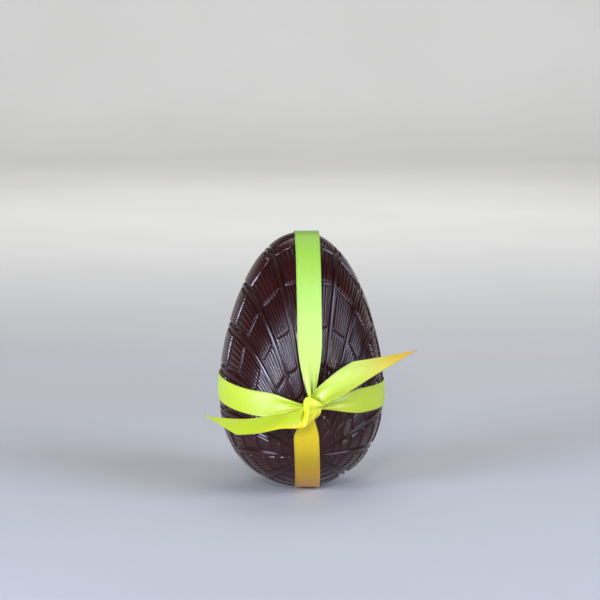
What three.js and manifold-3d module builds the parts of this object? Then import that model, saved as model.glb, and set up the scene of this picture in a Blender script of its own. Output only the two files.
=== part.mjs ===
// A moulded chocolate egg, standing on its blunt end and tied with one satin ribbon.
// Millimetres, +Z up. The origin is on the floor below the egg's axis, and the knot faces -Y.
//
// The egg is a solid of revolution with the same embossed relief on its front and back halves:
// sixteen beads run out from a low centre to the seam, and rings of overlapping scales cross them.
// The ribbon is one solid: an upright band, a level band, the knot and two tails cut on the slant.
import * as THREE from 'three';
import { mergeVertices } from 'three/addons/utils/BufferGeometryUtils.js';
import Module from 'manifold-3d';

const wasm = await Module();
wasm.setup();

const { clamp, lerp, smoothstep, degToRad } = THREE.MathUtils;

// Ribbon stock, and the clearance it keeps from the chocolate
const RIBBON_WIDTH = 14.3;
const RIBBON_THICKNESS = 0.6;
const RIBBON_CLEARANCE = 0.3;

// Egg outline: half width = sqrt(1 - u^2) (1 + a u + b u^2 + c u^3), with u from -1 (base) to 1 (top)
const EGG_HEIGHT = 149.5;
const EGG_WIDTH = 96.8;
const EGG_TAPER = -0.232;
const EGG_FULLNESS = 0.102;
const EGG_SHOULDER = 0.032;
const EGG_TURN = degToRad(8);
const BASE_FLAT_DEPTH = 0.6;
const EGG_LIFT = RIBBON_THICKNESS + RIBBON_CLEARANCE - BASE_FLAT_DEPTH;

// Relief: where the beads meet, how they run and how the rings are spaced
const SECTORS = 16;
const CENTRE_HEIGHT = 28.2;
const CORE_HEIGHT = 59.7;
const SEAM_SHIFT = 1.7;
const BEAD_BOW = 25.5;
const BOW_PEAK = 4 / 27;
const RING_RATIO = 0.78;
const RING_COUNT = 6;
const RING_SAG = 0.1;
const RING_SWING = 0.12;
const RING_DROP = 0.3;
const BOSS_EDGE = 0.2;
const BOSS_ROWS_APART = 2.8;
const SPOKE_FADE = 0.04;

// Relief depths and widths, measured inward from the smooth outline. The outermost scales, next to
// the seam, keep only a share of the step. The mean length of a spoke turns the widths of lips and
// seam into a share of the reach.
const VALLEY_DEPTH = 1.0;
const BEAD_HEIGHT = 0.5;
const BEAD_HALF_WIDTH = 0.85;
const BEAD_SHARE = 0.085;
const PILLOW_DEPTH = 0.4;
const FULL_RELIEF_WIDTH = 12;
const SCALE_STEP = 0.4;
const RING_GROOVE_DEPTH = 0.4;
const RING_GROOVE_WIDTH = 0.6;
const LIP_WIDTH = 1;
const SEAM_STEP_SHARE = 0.25;
const SEAM_DEPTH = 0.3;
const SEAM_HALF_WIDTH = 0.7;
const SPOKE_LENGTH = 75;
const RIM_DEPTH = 0.1;
const BOSS_DEPTH = 0.2;

// Ribbon layout: the upright band hangs a little off the axis, and leans to the left below the knot.
// The level band is higher at the back. It climbs there over a range of azimuths on each side,
// counted from the front.
const UPRIGHT_OFFSET = 2.9;
const UPRIGHT_YAW = degToRad(2.4);
const LOWER_LEAN = degToRad(3.1);
const LEVEL_BACK_HEIGHT = 61;
const LEVEL_LEFT = { frontHeight: 55.8, climbFrom: degToRad(20), climbTo: degToRad(100) };
const LEVEL_RIGHT = { frontHeight: 56.6, climbFrom: degToRad(85), climbTo: degToRad(170) };
const LEVEL_CLEARANCE = 0.35;
const CROSSING_MARGIN = 1;
const CROSSING_RAMP = 9;
const KNOT = new THREE.Vector3(5.8, -53, 56.3);
const KNOT_END_LIFT = 2.2;
const KNOT_INSET = 2;

// How each part of the ribbon is gathered towards the knot: over what length, down to what width
const UPPER_GATHER = { length: 32, endWidth: 4.3 };
const LOWER_GATHER = { length: 20, endWidth: 2.5 };
const LEFT_GATHER = { length: 27, endWidth: 2.5 };
const RIGHT_GATHER = { length: 34, endWidth: 3.5 };

// Tails: their two edges from the knot out to the corners of the slanting cut
const RIGHT_TAIL = {
  upper: [[6, -52.5, 63.5], [16.2, -54.5, 74.3], [28.7, -54, 82.4]],
  lower: [[9, -52.5, 57], [24.6, -54.3, 63.7], [46.5, -51, 77.4], [64.1, -45, 86.5]],
};
const LEFT_TAIL = {
  upper: [[3, -52.5, 57], [-14.6, -51, 50.6], [-36, -47, 47.6], [-54.5, -41, 48.7]],
  lower: [[4.5, -54, 47.5], [-11.7, -62.5, 45.5], [-36.4, -59, 41.3]],
};

// Folds of the knot: the turn that wraps it, and the root of the left tail. The size holds half the
// length, depth and width, and the lean is that of the length in the front view.
const WRAP_FOLD = { centre: [7, -53.3, 56.8], lean: degToRad(-27), size: [7.6, 4.2, 4.6] };
const ROOT_FOLD = { centre: [4.2, -53, 52.6], lean: degToRad(74), size: [7.8, 3.9, 4.2] };

// Mesh fineness; FACE_ROWS holds the rows on a scale's face, ring by ring
const FACE_ROWS = [2, 2, 2, 1, 1, 1];
const FACE_COLUMN_SHARE = 0.33;
const OUTLINE_STEPS = 720;
const CHORD_HALVINGS = 40;
const FARTHEST_SCALE = 4;
const SLOPE_STEP = 0.05;
const NORMAL_STEP = 0.5;
const UPRIGHT_STEPS = 72;
const LEVEL_STEPS = 60;
const TAIL_STEPS = 12;
const TAIL_SHARE_STEP = 0.02;
const FOLD_STEPS = 20;

// ---------------------------------------------------------------- egg outline

const outlineShape = (u) => Math.sqrt(Math.max(0, 1 - u * u))
  * (1 + u * (EGG_TAPER + u * (EGG_FULLNESS + u * EGG_SHOULDER)));

// Points of the outline from the top down to the base, evenly spaced in angle
function outlinePoints() {
  const angles = Array.from({ length: OUTLINE_STEPS + 1 }, (_, i) => Math.PI * i / OUTLINE_STEPS);
  const widest = Math.max(...angles.map((angle) => outlineShape(Math.cos(angle))));
  return angles.map((angle) => new THREE.Vector2(
    EGG_WIDTH / 2 * outlineShape(Math.cos(angle)) / widest,
    EGG_HEIGHT / 2 * (1 + Math.cos(angle)),
  ));
}

const outline = outlinePoints();
const outlineLengths = outline.reduce((lengths, point, i) => {
  lengths.push(i === 0 ? 0 : lengths[i - 1] + point.distanceTo(outline[i - 1]));
  return lengths;
}, []);
const HALF_SEAM = outlineLengths[OUTLINE_STEPS];
const SECTOR_WIDTH = 2 * HALF_SEAM / SECTORS;

// Point of the outline at a distance along it from the top: x is the half width, y the height
function outlineAt(distance) {
  const target = clamp(distance, 0, HALF_SEAM);
  let low = 0;
  let high = OUTLINE_STEPS;
  while (high - low > 1) {
    const middle = (low + high) >> 1;
    if (outlineLengths[middle] <= target) low = middle;
    else high = middle;
  }
  const share = (target - outlineLengths[low]) / (outlineLengths[high] - outlineLengths[low]);
  return outline[low].clone().lerp(outline[high], share);
}

// Half width of the egg at a height above its uncut base point
function halfWidthAt(height) {
  let low = 0;
  let high = OUTLINE_STEPS;
  while (high - low > 1) {
    const middle = (low + high) >> 1;
    if (outline[middle].y >= height) low = middle;
    else high = middle;
  }
  const share = clamp((outline[low].y - height) / (outline[low].y - outline[high].y), 0, 1);
  return lerp(outline[low].x, outline[high].x, share);
}

// Outward normal of the smooth egg at a point on it
function eggNormal(point) {
  const low = Math.max(point.z - SLOPE_STEP, 0);
  const high = Math.min(point.z + SLOPE_STEP, EGG_HEIGHT);
  const slope = (halfWidthAt(high) - halfWidthAt(low)) / (high - low);
  const radius = Math.hypot(point.x, point.y) || 1;
  return new THREE.Vector3(point.x / radius, point.y / radius, -slope).normalize();
}

// ---------------------------------------------------------------- embossed relief

const core = new THREE.Vector3(0, 0, CORE_HEIGHT);
const reliefCentre = new THREE.Vector3(0, -halfWidthAt(CENTRE_HEIGHT), CENTRE_HEIGHT);

// Point of the seam that a spoke aims at. A spoke is counted from the top, positive to the right;
// the row is shifted towards the top, and close to the relief's centre the spokes bow upwards.
function seamTarget(spoke, reach) {
  const halfSpokes = SECTORS / 2;
  const count = Math.abs(spoke);
  const shift = SEAM_SHIFT * clamp(Math.min(count, halfSpokes - count), 0, 1);
  const distance = count * SECTOR_WIDTH - shift;
  const rise = reach * (1 - reach) ** 2 / BOW_PEAK;
  const bow = BEAD_BOW * Math.sin(Math.PI * distance / HALF_SEAM) * rise;
  const point = outlineAt(distance - bow);
  return new THREE.Vector3(Math.sign(spoke) * point.x, 0, point.y);
}

// Point of the smooth front half at a spoke and a reach, from 0 at the relief's centre to 1 at the
// seam. The chord from the centre to the seam is thrown outwards from the core onto the egg.
function smoothPoint(spoke, reach) {
  const ray = reliefCentre.clone().lerp(seamTarget(spoke, reach), reach).sub(core);
  let inside = 0;
  let outside = FARTHEST_SCALE;
  for (let i = 0; i < CHORD_HALVINGS; i += 1) {
    const scale = (inside + outside) / 2;
    const point = core.clone().addScaledVector(ray, scale);
    const within = point.z > 0 && point.z < EGG_HEIGHT
      && Math.hypot(point.x, point.y) < halfWidthAt(point.z);
    if (within) inside = scale;
    else outside = scale;
  }
  return core.clone().addScaledVector(ray, inside);
}

// Reach at which a ring line crosses a spoke; the rings are counted inwards from the seam. A line
// sags inwards from bead to bead, swings in and out round the egg, and drops inwards at the base.
function reachAt(ring, spoke) {
  const between = Math.abs(spoke) % 1;
  const sag = RING_SAG * 4 * between * (1 - between);
  const swing = RING_SWING * Math.cos(Math.PI * spoke / 3);
  const drop = RING_DROP * clamp((Math.abs(spoke) - 5) / 3, 0, 1) ** 2;
  return RING_RATIO ** (ring + (sag + swing + drop) * smoothstep(ring, 0, 1));
}

// A width along a spoke, close to a ring line, as a share of the step from ring to ring
const ringShare = (width, ring) => width / (SPOKE_LENGTH * RING_RATIO ** ring * -Math.log(RING_RATIO));

// Rows of one half from the seam inwards, each with its place among the rings and its depth. The
// face of a scale rises from its outer end to the lip, and a groove parts it from the next scale.
function reliefRows() {
  const rim = ringShare(SEAM_HALF_WIDTH, 0);
  const rows = [
    { ring: 0, depth: SEAM_DEPTH },
    { ring: rim, depth: RIM_DEPTH },
  ];
  for (let ring = 0; ring < RING_COUNT; ring += 1) {
    const count = FACE_ROWS[ring];
    const outer = ring === 0 ? rim : ring + ringShare(RING_GROOVE_WIDTH, ring);
    const lip = ring + 1 - ringShare(LIP_WIDTH, ring + 1);
    for (let i = 0; i < count; i += 1) {
      const share = ring === 0 ? (i + 1) / (count + 1) : i / count;
      const step = ring === 0 ? SEAM_STEP_SHARE * SCALE_STEP : SCALE_STEP;
      rows.push({ ring: lerp(outer, lip, share), depth: step * (1 - share) });
    }
    rows.push({ ring: lip, depth: 0 });
    rows.push({ ring: ring + 1, depth: SCALE_STEP + RING_GROOVE_DEPTH });
  }
  const bossRing = Math.log(BOSS_EDGE) / Math.log(RING_RATIO);
  rows.push({ ring: bossRing, depth: BOSS_DEPTH });
  rows.push({ ring: bossRing + BOSS_ROWS_APART, depth: 0 });
  return rows;
}

// Half width of a bead, and of the valley that it lies in, on a sector of the given width
const beadHalfWidth = (width) => Math.min(BEAD_HALF_WIDTH, BEAD_SHARE * width);
const valleyHalfWidth = (width) => 2 * beadHalfWidth(width);

// Depth across a sector at a distance from the nearest bead: a round bead on the floor of a valley,
// the valley's side, and beyond it the pillowed face of the scales
function acrossDepth(distance, width) {
  const strength = Math.min(1, width / FULL_RELIEF_WIDTH);
  const bead = beadHalfWidth(width);
  const valley = valleyHalfWidth(width);
  if (distance <= bead) {
    return strength * (VALLEY_DEPTH - BEAD_HEIGHT * Math.cos(Math.PI / 2 * distance / bead) ** 2);
  }
  if (distance <= valley) {
    return strength * lerp(VALLEY_DEPTH, PILLOW_DEPTH, smoothstep(distance, bead, valley));
  }
  const share = (distance - valley) / (width / 2 - valley);
  return strength * PILLOW_DEPTH * (1 - share) ** 2;
}

// Columns across one sector as distances from its first bead
function sectorColumns(width) {
  const bead = beadHalfWidth(width);
  const valley = valleyHalfWidth(width);
  const inner = lerp(valley, width - valley, FACE_COLUMN_SHARE);
  return [0, bead, valley, inner, width - inner, width - valley, width - bead];
}

// Vertices of one row, with the relief pressed in along the egg's normal
function rowPoints({ ring, depth }) {
  const reach = RING_RATIO ** ring;
  const width = SECTOR_WIDTH * reach;
  const columns = sectorColumns(width);
  const spokeFade = smoothstep(reach, BOSS_EDGE / 2, BOSS_EDGE + SPOKE_FADE);
  const points = [];
  for (let sector = 0; sector < SECTORS; sector += 1) {
    for (const column of columns) {
      const spoke = sector - SECTORS / 2 + column / width;
      const distance = Math.min(column, width - column);
      const onScale = ring === 0 ? 1 : smoothstep(distance, beadHalfWidth(width), valleyHalfWidth(width));
      const pressed = acrossDepth(distance, width) * spokeFade + depth * onScale;
      const point = smoothPoint(spoke, reachAt(ring, spoke));
      points.push(point.addScaledVector(eggNormal(point), -pressed));
    }
  }
  return points;
}

// The whole egg: the front half's rows, the same rows mirrored to the back, and the shared seam row
function eggGeometry() {
  const rows = reliefRows().map(rowPoints);
  rows.push([reliefCentre.clone()]);
  const columns = rows[0].length;
  const positions = [];
  const indices = [];
  for (const side of [1, -1]) {
    const base = positions.length / 3;
    const start = rows.map((_, row) => base + row * columns);
    for (const point of rows.flat()) {
      positions.push(point.x, point.y * side, Math.max(point.z, BASE_FLAT_DEPTH));
    }
    const face = (a, b, c) => indices.push(...(side > 0 ? [a, b, c] : [a, c, b]));
    for (let column = 0; column < columns; column += 1) {
      const next = (column + 1) % columns;
      for (let row = 0; row < rows.length - 2; row += 1) {
        face(start[row] + column, start[row + 1] + next, start[row] + next);
        face(start[row] + column, start[row + 1] + column, start[row + 1] + next);
      }
      const last = start[rows.length - 2];
      face(last + column, start[rows.length - 1], last + next);
    }
  }
  const geometry = new THREE.BufferGeometry();
  geometry.setAttribute('position', new THREE.Float32BufferAttribute(positions, 3));
  geometry.setIndex(indices);
  return mergeVertices(geometry, 1e-4);
}

// ---------------------------------------------------------------- ribbon strips

// Closed solid between two faces, each a function of the share along and the share across (0 to 1)
function stripSolid(innerFace, outerFace, lengthSteps, widthSteps = 1) {
  const loop = [];
  for (let i = 0; i <= widthSteps; i += 1) loop.push([innerFace, i / widthSteps]);
  for (let i = widthSteps; i >= 0; i -= 1) loop.push([outerFace, i / widthSteps]);
  const positions = [];
  for (let step = 0; step <= lengthSteps; step += 1) {
    for (const [face, across] of loop) positions.push(...face(step / lengthSteps, across));
  }
  const size = loop.length;
  const indices = [];
  for (let step = 0; step < lengthSteps; step += 1) {
    for (let i = 0; i < size; i += 1) {
      const j = (i + 1) % size;
      const [a, b] = [step * size + i, step * size + j];
      indices.push(a, b, b + size, a, b + size, a + size);
    }
  }
  for (let i = 0; i < widthSteps; i += 1) {
    const [a, b, c, d] = [i, i + 1, size - 2 - i, size - 1 - i];
    const end = lengthSteps * size;
    indices.push(a, c, b, a, d, c);
    indices.push(end + a, end + b, end + c, end + a, end + c, end + d);
  }
  const geometry = new THREE.BufferGeometry();
  geometry.setAttribute('position', new THREE.Float32BufferAttribute(positions, 3));
  geometry.setIndex(indices);
  return geometry;
}

// How a band is gathered at a distance along it from the knot: spread is 0 at the knot and 1 when
// the band is flat
function gatherAt(distance, { length, endWidth }) {
  const spread = smoothstep(distance, 0, length);
  const width = lerp(endWidth, RIBBON_WIDTH, spread);
  const lift = KNOT_END_LIFT * (1 - spread) ** 2;
  return { spread, width, lift };
}

// Distance along the outline from the top down to a height on the egg's lower part
function lengthDownTo(height) {
  return outlineLengths[outline.findIndex((point) => point.y <= height)];
}

// Point and outward normal of the upright outline at a distance from the base point, negative up
// the front and positive up the back; x is the reach towards the back, y the height
function uprightOutline(distance) {
  const loop = 2 * HALF_SEAM;
  const wrapped = distance > HALF_SEAM ? distance - loop : distance;
  const side = wrapped < 0 ? -1 : 1;
  const fromTop = HALF_SEAM - Math.abs(wrapped);
  const point = outlineAt(fromTop);
  const before = outlineAt(fromTop - NORMAL_STEP);
  const after = outlineAt(fromTop + NORMAL_STEP);
  const normal = new THREE.Vector2(before.y - after.y, after.x - before.x).normalize();
  point.x *= side;
  normal.x *= side;
  return { point, normal, side };
}

// The upright band leaves the knot down the front, passes under the base, climbs the back over the
// level band, and comes over the top back to the knot. It lies flat across, in one upright plane,
// except that the stretch below the knot leans.
function uprightBand() {
  const across = new THREE.Vector3(Math.cos(UPRIGHT_YAW), Math.sin(UPRIGHT_YAW), 0);
  const backward = new THREE.Vector3(-Math.sin(UPRIGHT_YAW), Math.cos(UPRIGHT_YAW), 0);
  const loop = 2 * HALF_SEAM;
  const knotDistance = HALF_SEAM - lengthDownTo(KNOT.z - EGG_LIFT);
  const knotOffset = KNOT.dot(across);
  const floorGap = RIBBON_THICKNESS + RIBBON_CLEARANCE;

  const face = (offset) => (share, side) => {
    const run = lerp(KNOT_INSET, loop - KNOT_INSET, share);
    const fromBase = run - knotDistance;
    const gather = fromBase < 0
      ? gatherAt(run, LOWER_GATHER)
      : gatherAt(loop - run, UPPER_GATHER);
    const { point, normal, side: behind } = uprightOutline(fromBase);
    const pastLevel = Math.abs(point.y + EGG_LIFT - LEVEL_BACK_HEIGHT) - RIBBON_WIDTH / 2;
    const crossing = behind > 0 ? 1 - smoothstep(pastLevel, CROSSING_MARGIN, CROSSING_RAMP) : 0;
    const stand = offset + gather.lift + crossing * (LEVEL_CLEARANCE + floorGap);
    const lean = fromBase < 0 ? point.y * Math.tan(LOWER_LEAN) : 0;
    const centre = lerp(knotOffset, UPRIGHT_OFFSET - lean, gather.spread);
    const place = across.clone().multiplyScalar(centre + (side - 0.5) * gather.width);
    place.addScaledVector(backward, point.x + normal.x * stand);
    place.z = Math.max(point.y + EGG_LIFT + normal.y * stand, floorGap - offset);
    return place;
  };
  const inner = face(RIBBON_CLEARANCE);
  const outer = face(RIBBON_CLEARANCE + RIBBON_THICKNESS);
  return stripSolid(inner, outer, UPRIGHT_STEPS);
}

// Height of the middle of the level band at an azimuth between -180 and 180 degrees from the front
function levelMiddle(azimuth) {
  const { frontHeight, climbFrom, climbTo } = azimuth < 0 ? LEVEL_LEFT : LEVEL_RIGHT;
  return lerp(frontHeight, LEVEL_BACK_HEIGHT, smoothstep(Math.abs(azimuth), climbFrom, climbTo));
}

// The level band goes once round the widest part of the egg, from the knot's left to its right
function levelBand() {
  const smallestRadius = EGG_WIDTH / 2 + LEVEL_CLEARANCE;
  const loop = 2 * Math.PI * smallestRadius;
  const knotAzimuth = Math.asin(KNOT.x / smallestRadius);

  const face = (offset) => (share, side) => {
    const run = lerp(KNOT_INSET, loop - KNOT_INSET, share);
    const gather = run < loop / 2 ? gatherAt(run, LEFT_GATHER) : gatherAt(loop - run, RIGHT_GATHER);
    const azimuth = knotAzimuth - run / smallestRadius;
    const wrapped = azimuth < -Math.PI ? azimuth + 2 * Math.PI : azimuth;
    const radius = smallestRadius + offset + gather.lift;
    const middle = lerp(KNOT.z, levelMiddle(wrapped), gather.spread);
    return new THREE.Vector3(
      radius * Math.sin(azimuth),
      -radius * Math.cos(azimuth),
      middle + (side - 0.5) * gather.width,
    );
  };
  return stripSolid(face(0), face(RIBBON_THICKNESS), LEVEL_STEPS);
}

// Smooth curve through the points of one edge
function edgeCurve(points) {
  return new THREE.CatmullRomCurve3(points.map((point) => new THREE.Vector3(...point)));
}

// A tail is the ruled sheet between its two edges, which have unequal lengths, because the end is
// cut on the slant
function tail({ upper, lower }) {
  const upperEdge = edgeCurve(upper);
  const lowerEdge = edgeCurve(lower);
  const middle = (share, side) => lowerEdge.getPointAt(share).lerp(upperEdge.getPointAt(share), side);
  const face = (offset) => (share, side) => {
    const from = Math.max(share - TAIL_SHARE_STEP, 0);
    const to = Math.min(share + TAIL_SHARE_STEP, 1);
    const along = middle(to, side).sub(middle(from, side));
    const across = middle(share, 1).sub(middle(share, 0));
    const normal = along.cross(across).normalize();
    return middle(share, side).addScaledVector(normal, offset);
  };
  return stripSolid(face(RIBBON_THICKNESS / 2), face(-RIBBON_THICKNESS / 2), TAIL_STEPS, 2);
}

// A rounded fold of the knot: a ball stretched to its size and leaned over
function knotFold({ centre, lean, size }) {
  const ball = new THREE.SphereGeometry(1, FOLD_STEPS, FOLD_STEPS / 2);
  ball.scale(...size);
  ball.rotateY(-lean);
  ball.translate(...centre);
  return ball;
}

// ---------------------------------------------------------------- joining

// Volume inside a closed indexed mesh, negative if its faces point inward
function signedVolume(geometry) {
  const { position } = geometry.attributes;
  const corner = (i) => new THREE.Vector3().fromBufferAttribute(position, geometry.index.getX(i));
  let volume = 0;
  for (let i = 0; i < geometry.index.count; i += 3) {
    volume += corner(i).dot(corner(i + 1).cross(corner(i + 2))) / 6;
  }
  return volume;
}

// Closed mesh as a solid, with its faces turned outwards
function toSolid(geometry) {
  geometry.deleteAttribute('normal');
  geometry.deleteAttribute('uv');
  const merged = mergeVertices(geometry, 1e-4);
  const triVerts = new Uint32Array(merged.index.array);
  if (signedVolume(merged) < 0) triVerts.reverse();
  const vertProperties = new Float32Array(merged.attributes.position.array);
  return new wasm.Manifold(new wasm.Mesh({ numProp: 3, vertProperties, triVerts }));
}

function toGeometry(solid) {
  const { vertProperties, triVerts, numProp } = solid.getMesh();
  const geometry = new THREE.BufferGeometry();
  geometry.setAttribute('position', new THREE.BufferAttribute(vertProperties, numProp));
  geometry.setIndex(new THREE.BufferAttribute(triVerts, 1));
  return geometry;
}

// The one ribbon: both bands run into the knot, and the two tails come out of it
function ribbonGeometry() {
  const bands = [uprightBand(), levelBand()];
  const tails = [RIGHT_TAIL, LEFT_TAIL].map(tail);
  const folds = [WRAP_FOLD, ROOT_FOLD].map(knotFold);
  const pieces = [...bands, ...tails, ...folds].map(toSolid);
  return toGeometry(pieces.reduce((ribbon, piece) => ribbon.add(piece)));
}

// ---------------------------------------------------------------- the object

const darkChocolate = new THREE.MeshStandardMaterial({ color: 0x3a1a18, roughness: 0.35, metalness: 0 });
const limeSatin = new THREE.MeshStandardMaterial({ color: 0xbfe04a, roughness: 0.4, metalness: 0 });

const egg = new THREE.Mesh(eggGeometry(), darkChocolate);
egg.name = 'chocolate_egg';
egg.rotation.z = EGG_TURN;
egg.position.z = EGG_LIFT;

const ribbon = new THREE.Mesh(ribbonGeometry(), limeSatin);
ribbon.name = 'satin_ribbon';

const tiedEgg = new THREE.Group();
tiedEgg.add(egg, ribbon);

export default tiedEgg;
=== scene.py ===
"""A moulded dark chocolate egg, tied crosswise with one lime satin ribbon.

The egg is a surface of revolution with an embossed relief on its front and back halves. The ribbon
is a set of thin closed strips laid round it: an upright band, a level band, and two tails, of which
the left one first wraps the knot, over the knot's inner turn. Sizes and places are in millimetres,
and MM turns them into the scene's metres when a mesh is made. +Z is up, and the knot faces -Y.
"""
import math

import bpy
import numpy as np
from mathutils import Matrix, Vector


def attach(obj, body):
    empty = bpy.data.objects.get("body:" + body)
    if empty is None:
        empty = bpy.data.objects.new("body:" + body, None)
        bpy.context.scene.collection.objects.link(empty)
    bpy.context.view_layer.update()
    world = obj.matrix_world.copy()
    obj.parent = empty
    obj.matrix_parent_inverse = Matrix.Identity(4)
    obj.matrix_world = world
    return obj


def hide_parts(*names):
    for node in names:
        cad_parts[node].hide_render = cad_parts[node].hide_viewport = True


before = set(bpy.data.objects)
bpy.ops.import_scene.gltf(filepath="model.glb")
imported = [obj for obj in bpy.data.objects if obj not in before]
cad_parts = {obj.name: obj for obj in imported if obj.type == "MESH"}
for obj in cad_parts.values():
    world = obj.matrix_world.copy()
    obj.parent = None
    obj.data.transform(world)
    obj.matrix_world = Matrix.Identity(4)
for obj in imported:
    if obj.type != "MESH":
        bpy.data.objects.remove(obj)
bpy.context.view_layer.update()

MM = 0.001

# ------------------------------------------------------------------ driving dimensions

RIBBON_WIDTH = 14.3
RIBBON_THICKNESS = 0.34
SELVEDGE_THICKNESS = 0.46
SELVEDGE_WIDTH = 0.5
SELVEDGE_BLEND = 0.4
RIBBON_CLEARANCE = 0.08

# Egg outline: half width = sqrt(1 - u^2) (1 + a u + b u^2 + c u^3), u from -1 (base) to 1 (top)
EGG_HEIGHT = 149.5
EGG_WIDTH = 96.8
EGG_TAPER = -0.232
EGG_FULLNESS = 0.102
EGG_SHOULDER = 0.032
EGG_TURN = math.radians(8)
EGG_LIFT = 0.3
BASE_FLAT_DEPTH = 0.6
OUTLINE_STEPS = 1440

# Relief: where the beads meet, how they run, and the courses of the rings. BOW_PEAK is the greatest
# value of reach (1 - reach)^2.
SECTORS = 16
CENTRE_HEIGHT = 28.2
CORE_HEIGHT = 59.7
SEAM_SHIFT = 1.7
BEAD_BOW = 25.5
BOW_PEAK = 4 / 27
RING_RATIO = 0.78
RING_SAG = 0.1
RING_SWING = 0.12
RING_DROP = 0.3
SPOKE_LENGTH = 75.0
BOSS_RING = 6.48
CHORD_HALVINGS = 34
FARTHEST_SCALE = 4.0

# Relief depths, measured inwards from the smooth outline, and widths. Beads and valleys narrow with
# their sector: BEAD_SHARE is of its width, VALLEY_SHARE of the bead's half width, and FLOOR_SHARE of
# what the bead leaves of the valley.
VALLEY_DEPTH = 1.35
BEAD_HEIGHT = 1.1
BEAD_HALF_WIDTH = 1.0
BEAD_SHARE = 0.075
BEAD_CROWN = 8
VALLEY_SHARE = 2.6
FLOOR_SHARE = 0.5
PILLOW_DEPTH = 0.35
SEAM_PILLOW_SHARE = 0.3
SEAM_PILLOW_RINGS = 1.5
FULL_RELIEF_WIDTH = 12.0
SCALE_STEP = 0.75
RING_GROOVE_DEPTH = 0.25
RING_GROOVE_WIDTH = 0.5
LIP_WIDTH = 0.5
LIP_FLUTE_SHARE = 0.8
FLUTE_DEPTH = 0.46
FLUTE_SHARPNESS = 1.25
LOW_FLUTE_SHARE = 0.65
LOW_FLUTES_FROM = 4.5
LOW_FLUTES_TO = 6.0
LOW_RELIEF_SHARE = 0.45
FLUTES = (10, 5, 5, 4, 4, 3, 3)
SEAM_DEPTH = 0.3
SEAM_STEP_SHARE = 0.16
HOLLOW_DEPTH = VALLEY_DEPTH + 0.1

# How unevenly the flutes are cut: least and greatest strength, most shift and squeeze, and the share
# of a scale's width over which they fade at each side. Scales with more than FINE_FLUTES flutes have
# shallower ones.
FLUTE_SEED = 11
FLUTE_STRENGTH = (0.75, 1.2)
FLUTE_SHIFT = 0.12
FLUTE_SQUEEZE = 0.12
FLUTE_EDGE = 0.06
FINE_FLUTES = 6
FINE_FLUTE_SHARE = 0.55

# Between which reaches beads and valleys fade out towards the relief's centre
SPOKE_FADE = (0.1, 0.24)

# Columns of half a valley: shares of the bead's half width, and a share of the valley's wall
BEAD_COLUMNS = (0, 0.5, 0.7, 0.88, 1.02)
WALL_COLUMN = 0.55
FACE_COLUMNS = 40

# Rows of the relief. At the seam: distance from it, depth and strength of flutes. On a scale's face:
# shares of the way from its groove to its lip, one line for each ring. On the lip: shares of its
# width, and depths. At the boss: rings past its edge, and depths. FLUTE_START is between which shares
# of a face its flutes grow to full strength.
SEAM_ROWS = ((0, SEAM_DEPTH, 0), (0.35, 0.45 * SEAM_DEPTH, 0.2), (0.8, 0.08, 0.7))
FACE_ROWS = (
    (0.1, 0.3, 0.55, 0.8, 0.94),
    (0, 0.1, 0.32, 0.56, 0.8, 0.94),
    (0, 0.1, 0.32, 0.56, 0.8, 0.94),
    (0, 0.1, 0.32, 0.56, 0.8, 0.94),
    (0, 0.15, 0.45, 0.75, 0.94),
    (0, 0.25, 0.62, 0.9),
)
FLUTE_START = (-0.1, 0.12)
LIP_ROWS = ((0.75, 0), (0.38, 0.06))
BOSS_ROWS = ((0, 0.15), (0.8, 0.1), (3, 0))

# Ribbon layout: the upright band hangs a little off the axis, and leans to the left below the knot.
# The level band is higher at the back. It climbs there over a range of azimuths on each side,
# counted from the front. CROSSING_GAP is how far the upright band passes over it, and BASE_GAP how
# far the upright band stays off the floor.
UPRIGHT_OFFSET = 2.9
UPRIGHT_YAW = math.radians(2.4)
LOWER_LEAN = math.radians(3.1)
LEVEL_BACK_HEIGHT = 61.0
LEVEL_LEFT = (55.8, math.radians(20), math.radians(100))
LEVEL_RIGHT = (56.6, math.radians(85), math.radians(170))
CROSSING_MARGIN = 1.0
CROSSING_RAMP = 9.0
CROSSING_GAP = 0.55
BASE_GAP = 0.01
KNOT = (5.8, -53.0, 56.3)
KNOT_END_LIFT = 2.2
KNOT_INSET = 2.0

# The knot's inner turn: its middle, half its width, depth and height, how far its ends lie to the
# left of its middle, and the radius that is left open at each end
INNER_TURN = (6.3, -53.4, 54.6)
INNER_TURN_HALVES = (4.4, 3.9, 6.4)
INNER_TURN_BOW = 2.8
INNER_TURN_END = 0.25

# How each part of the ribbon is gathered towards the knot: over what length, down to what width
UPPER_GATHER = (38.0, 1.0)
LOWER_GATHER = (20.0, 1.5)
LEFT_GATHER = (27.0, 1.0)
RIGHT_GATHER = (34.0, 3.5)

# How much narrower the upright band already is at its gather above the knot, and over what distance
# from the knot that dies out
UPPER_NARROWING = 0.55
UPPER_NARROWING_REACH = 90.0

# Over what range the painted gold, which stands in for warm bounce light, comes or goes: along the
# upright band past the base, where it ends, and by x on the right tail, where it begins
UPRIGHT_BOUNCE_GOLD = (-10.0, 25.0)
TAIL_BOUNCE_GOLD = (18.0, 66.0)

# Rows along each strip, columns across the bands and tails and across the knot, and how far from
# each edge the column is that rounds off the selvedge
UPRIGHT_ROWS = 420
LEVEL_ROWS = 340
RIGHT_TAIL_ROWS = 120
KNOT_ROWS = 260
INNER_TURN_ROWS = 160
BAND_COLUMNS = 19
KNOT_COLUMNS = 23
EDGE_COLUMN = 0.25


# ------------------------------------------------------------------ small helpers

def smoothstep(x, low, high):
    """3 t^2 - 2 t^3, where t is how far x is from low to high, kept between 0 and 1."""
    t = np.clip((x - low) / (high - low), 0, 1)
    return t * t * (3 - 2 * t)


def bell(x, centre, width):
    """exp(-((x - centre) / width)^2): a soft bump of height 1."""
    return np.exp(-((x - centre) / width) ** 2)


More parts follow.
